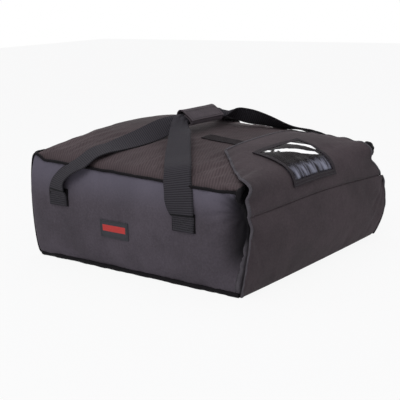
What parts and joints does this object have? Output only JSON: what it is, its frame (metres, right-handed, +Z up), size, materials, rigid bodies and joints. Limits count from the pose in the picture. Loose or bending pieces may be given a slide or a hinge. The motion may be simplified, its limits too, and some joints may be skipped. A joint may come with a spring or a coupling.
{
  "type": "pizza delivery bag",
  "caption": "Insulated soft bag with a drop-down front flap, a closing tongue, a ticket window and webbing handles joined by a wrapped grip.",
  "frame": {"origin": "middle of the flat base, on the surface that the bag stands on", "axes": "+Z up, -Y out of the mouth through the front flap, +X to the right when facing the back from the front"},
  "size_m": [0.5336, 0.5397, 0.2935],
  "materials": {
    "nylon": "matte coated weave",
    "insulation": "needled fibre wadding",
    "lining": "smooth coated cloth",
    "trim": "folded binding tape",
    "webbing": "ribbed webbing",
    "hook_and_loop": "hook and loop tape",
    "clear_film": "clear soft vinyl",
    "label": "woven label"
  },
  "bodies": {
    "bag": {"outer_bottom": "nylon", "outer_left": "nylon", "outer_right": "nylon", "outer_back": "nylon", "outer_top": "nylon", "insulation_bottom": "insulation", "insulation_left": "insulation", "insulation_right": "insulation", "insulation_back": "insulation", "insulation_top": "insulation", "lining_bottom": "lining", "lining_left": "lining", "lining_right": "lining", "lining_back": "lining", "lining_top": "lining", "piping_top": "trim", "piping_bottom": "trim", "piping_back_left": "trim", "piping_back_right": "trim", "mouth_binding": "trim", "loop_strip_left": "hook_and_loop", "loop_strip_right": "hook_and_loop", "label_patch": "label", "strap_patch_front_left": "webbing", "strap_patch_front_right": "webbing", "strap_patch_rear_left": "webbing", "strap_patch_rear_right": "webbing"},
    "flap": {"flap_lining": "lining", "flap_insulation": "insulation", "flap_outer": "nylon", "flap_binding_left": "trim", "flap_binding_right": "trim", "flap_upper": "nylon"},
    "tongue": {"tongue": "nylon", "tongue_binding": "trim", "hook_strip_left": "hook_and_loop", "hook_strip_right": "hook_and_loop", "window_film": "clear_film", "window_frame": "trim"},
    "grip": {"grip_wrap": "webbing", "grip_loop_patch": "hook_and_loop", "handle_strap_front": "webbing", "handle_strap_rear": "webbing"},
    "grip_leaf": {"grip_leaf": "webbing", "grip_hook_patch": "hook_and_loop"}
  },
  "joints": [
    {"name": "flap_drop", "type": "hinge", "parent": "bag", "child": "flap", "pos_m": [0, -0.2616, 0.0006], "axis": [1, 0, 0], "range_deg": [0, 74]},
    {"name": "tongue_fold", "type": "hinge", "parent": "flap", "child": "tongue", "pos_m": [0, -0.256, 0.2079], "axis": [1, 0, 0], "range_deg": [0, 110], "deforming": ["window_film", "window_frame"]},
    {"name": "grip_lift", "type": "slide", "parent": "bag", "child": "grip", "axis": [0, 0, 1], "range_m": [0, 0.065], "deforming": ["handle_strap_front", "handle_strap_rear"]},
    {"name": "leaf_open", "type": "hinge", "parent": "grip", "child": "grip_leaf", "pos_m": [0, 0.03, 0.2798], "axis": [-1, 0, 0], "range_deg": [0, 150]}
  ]
}
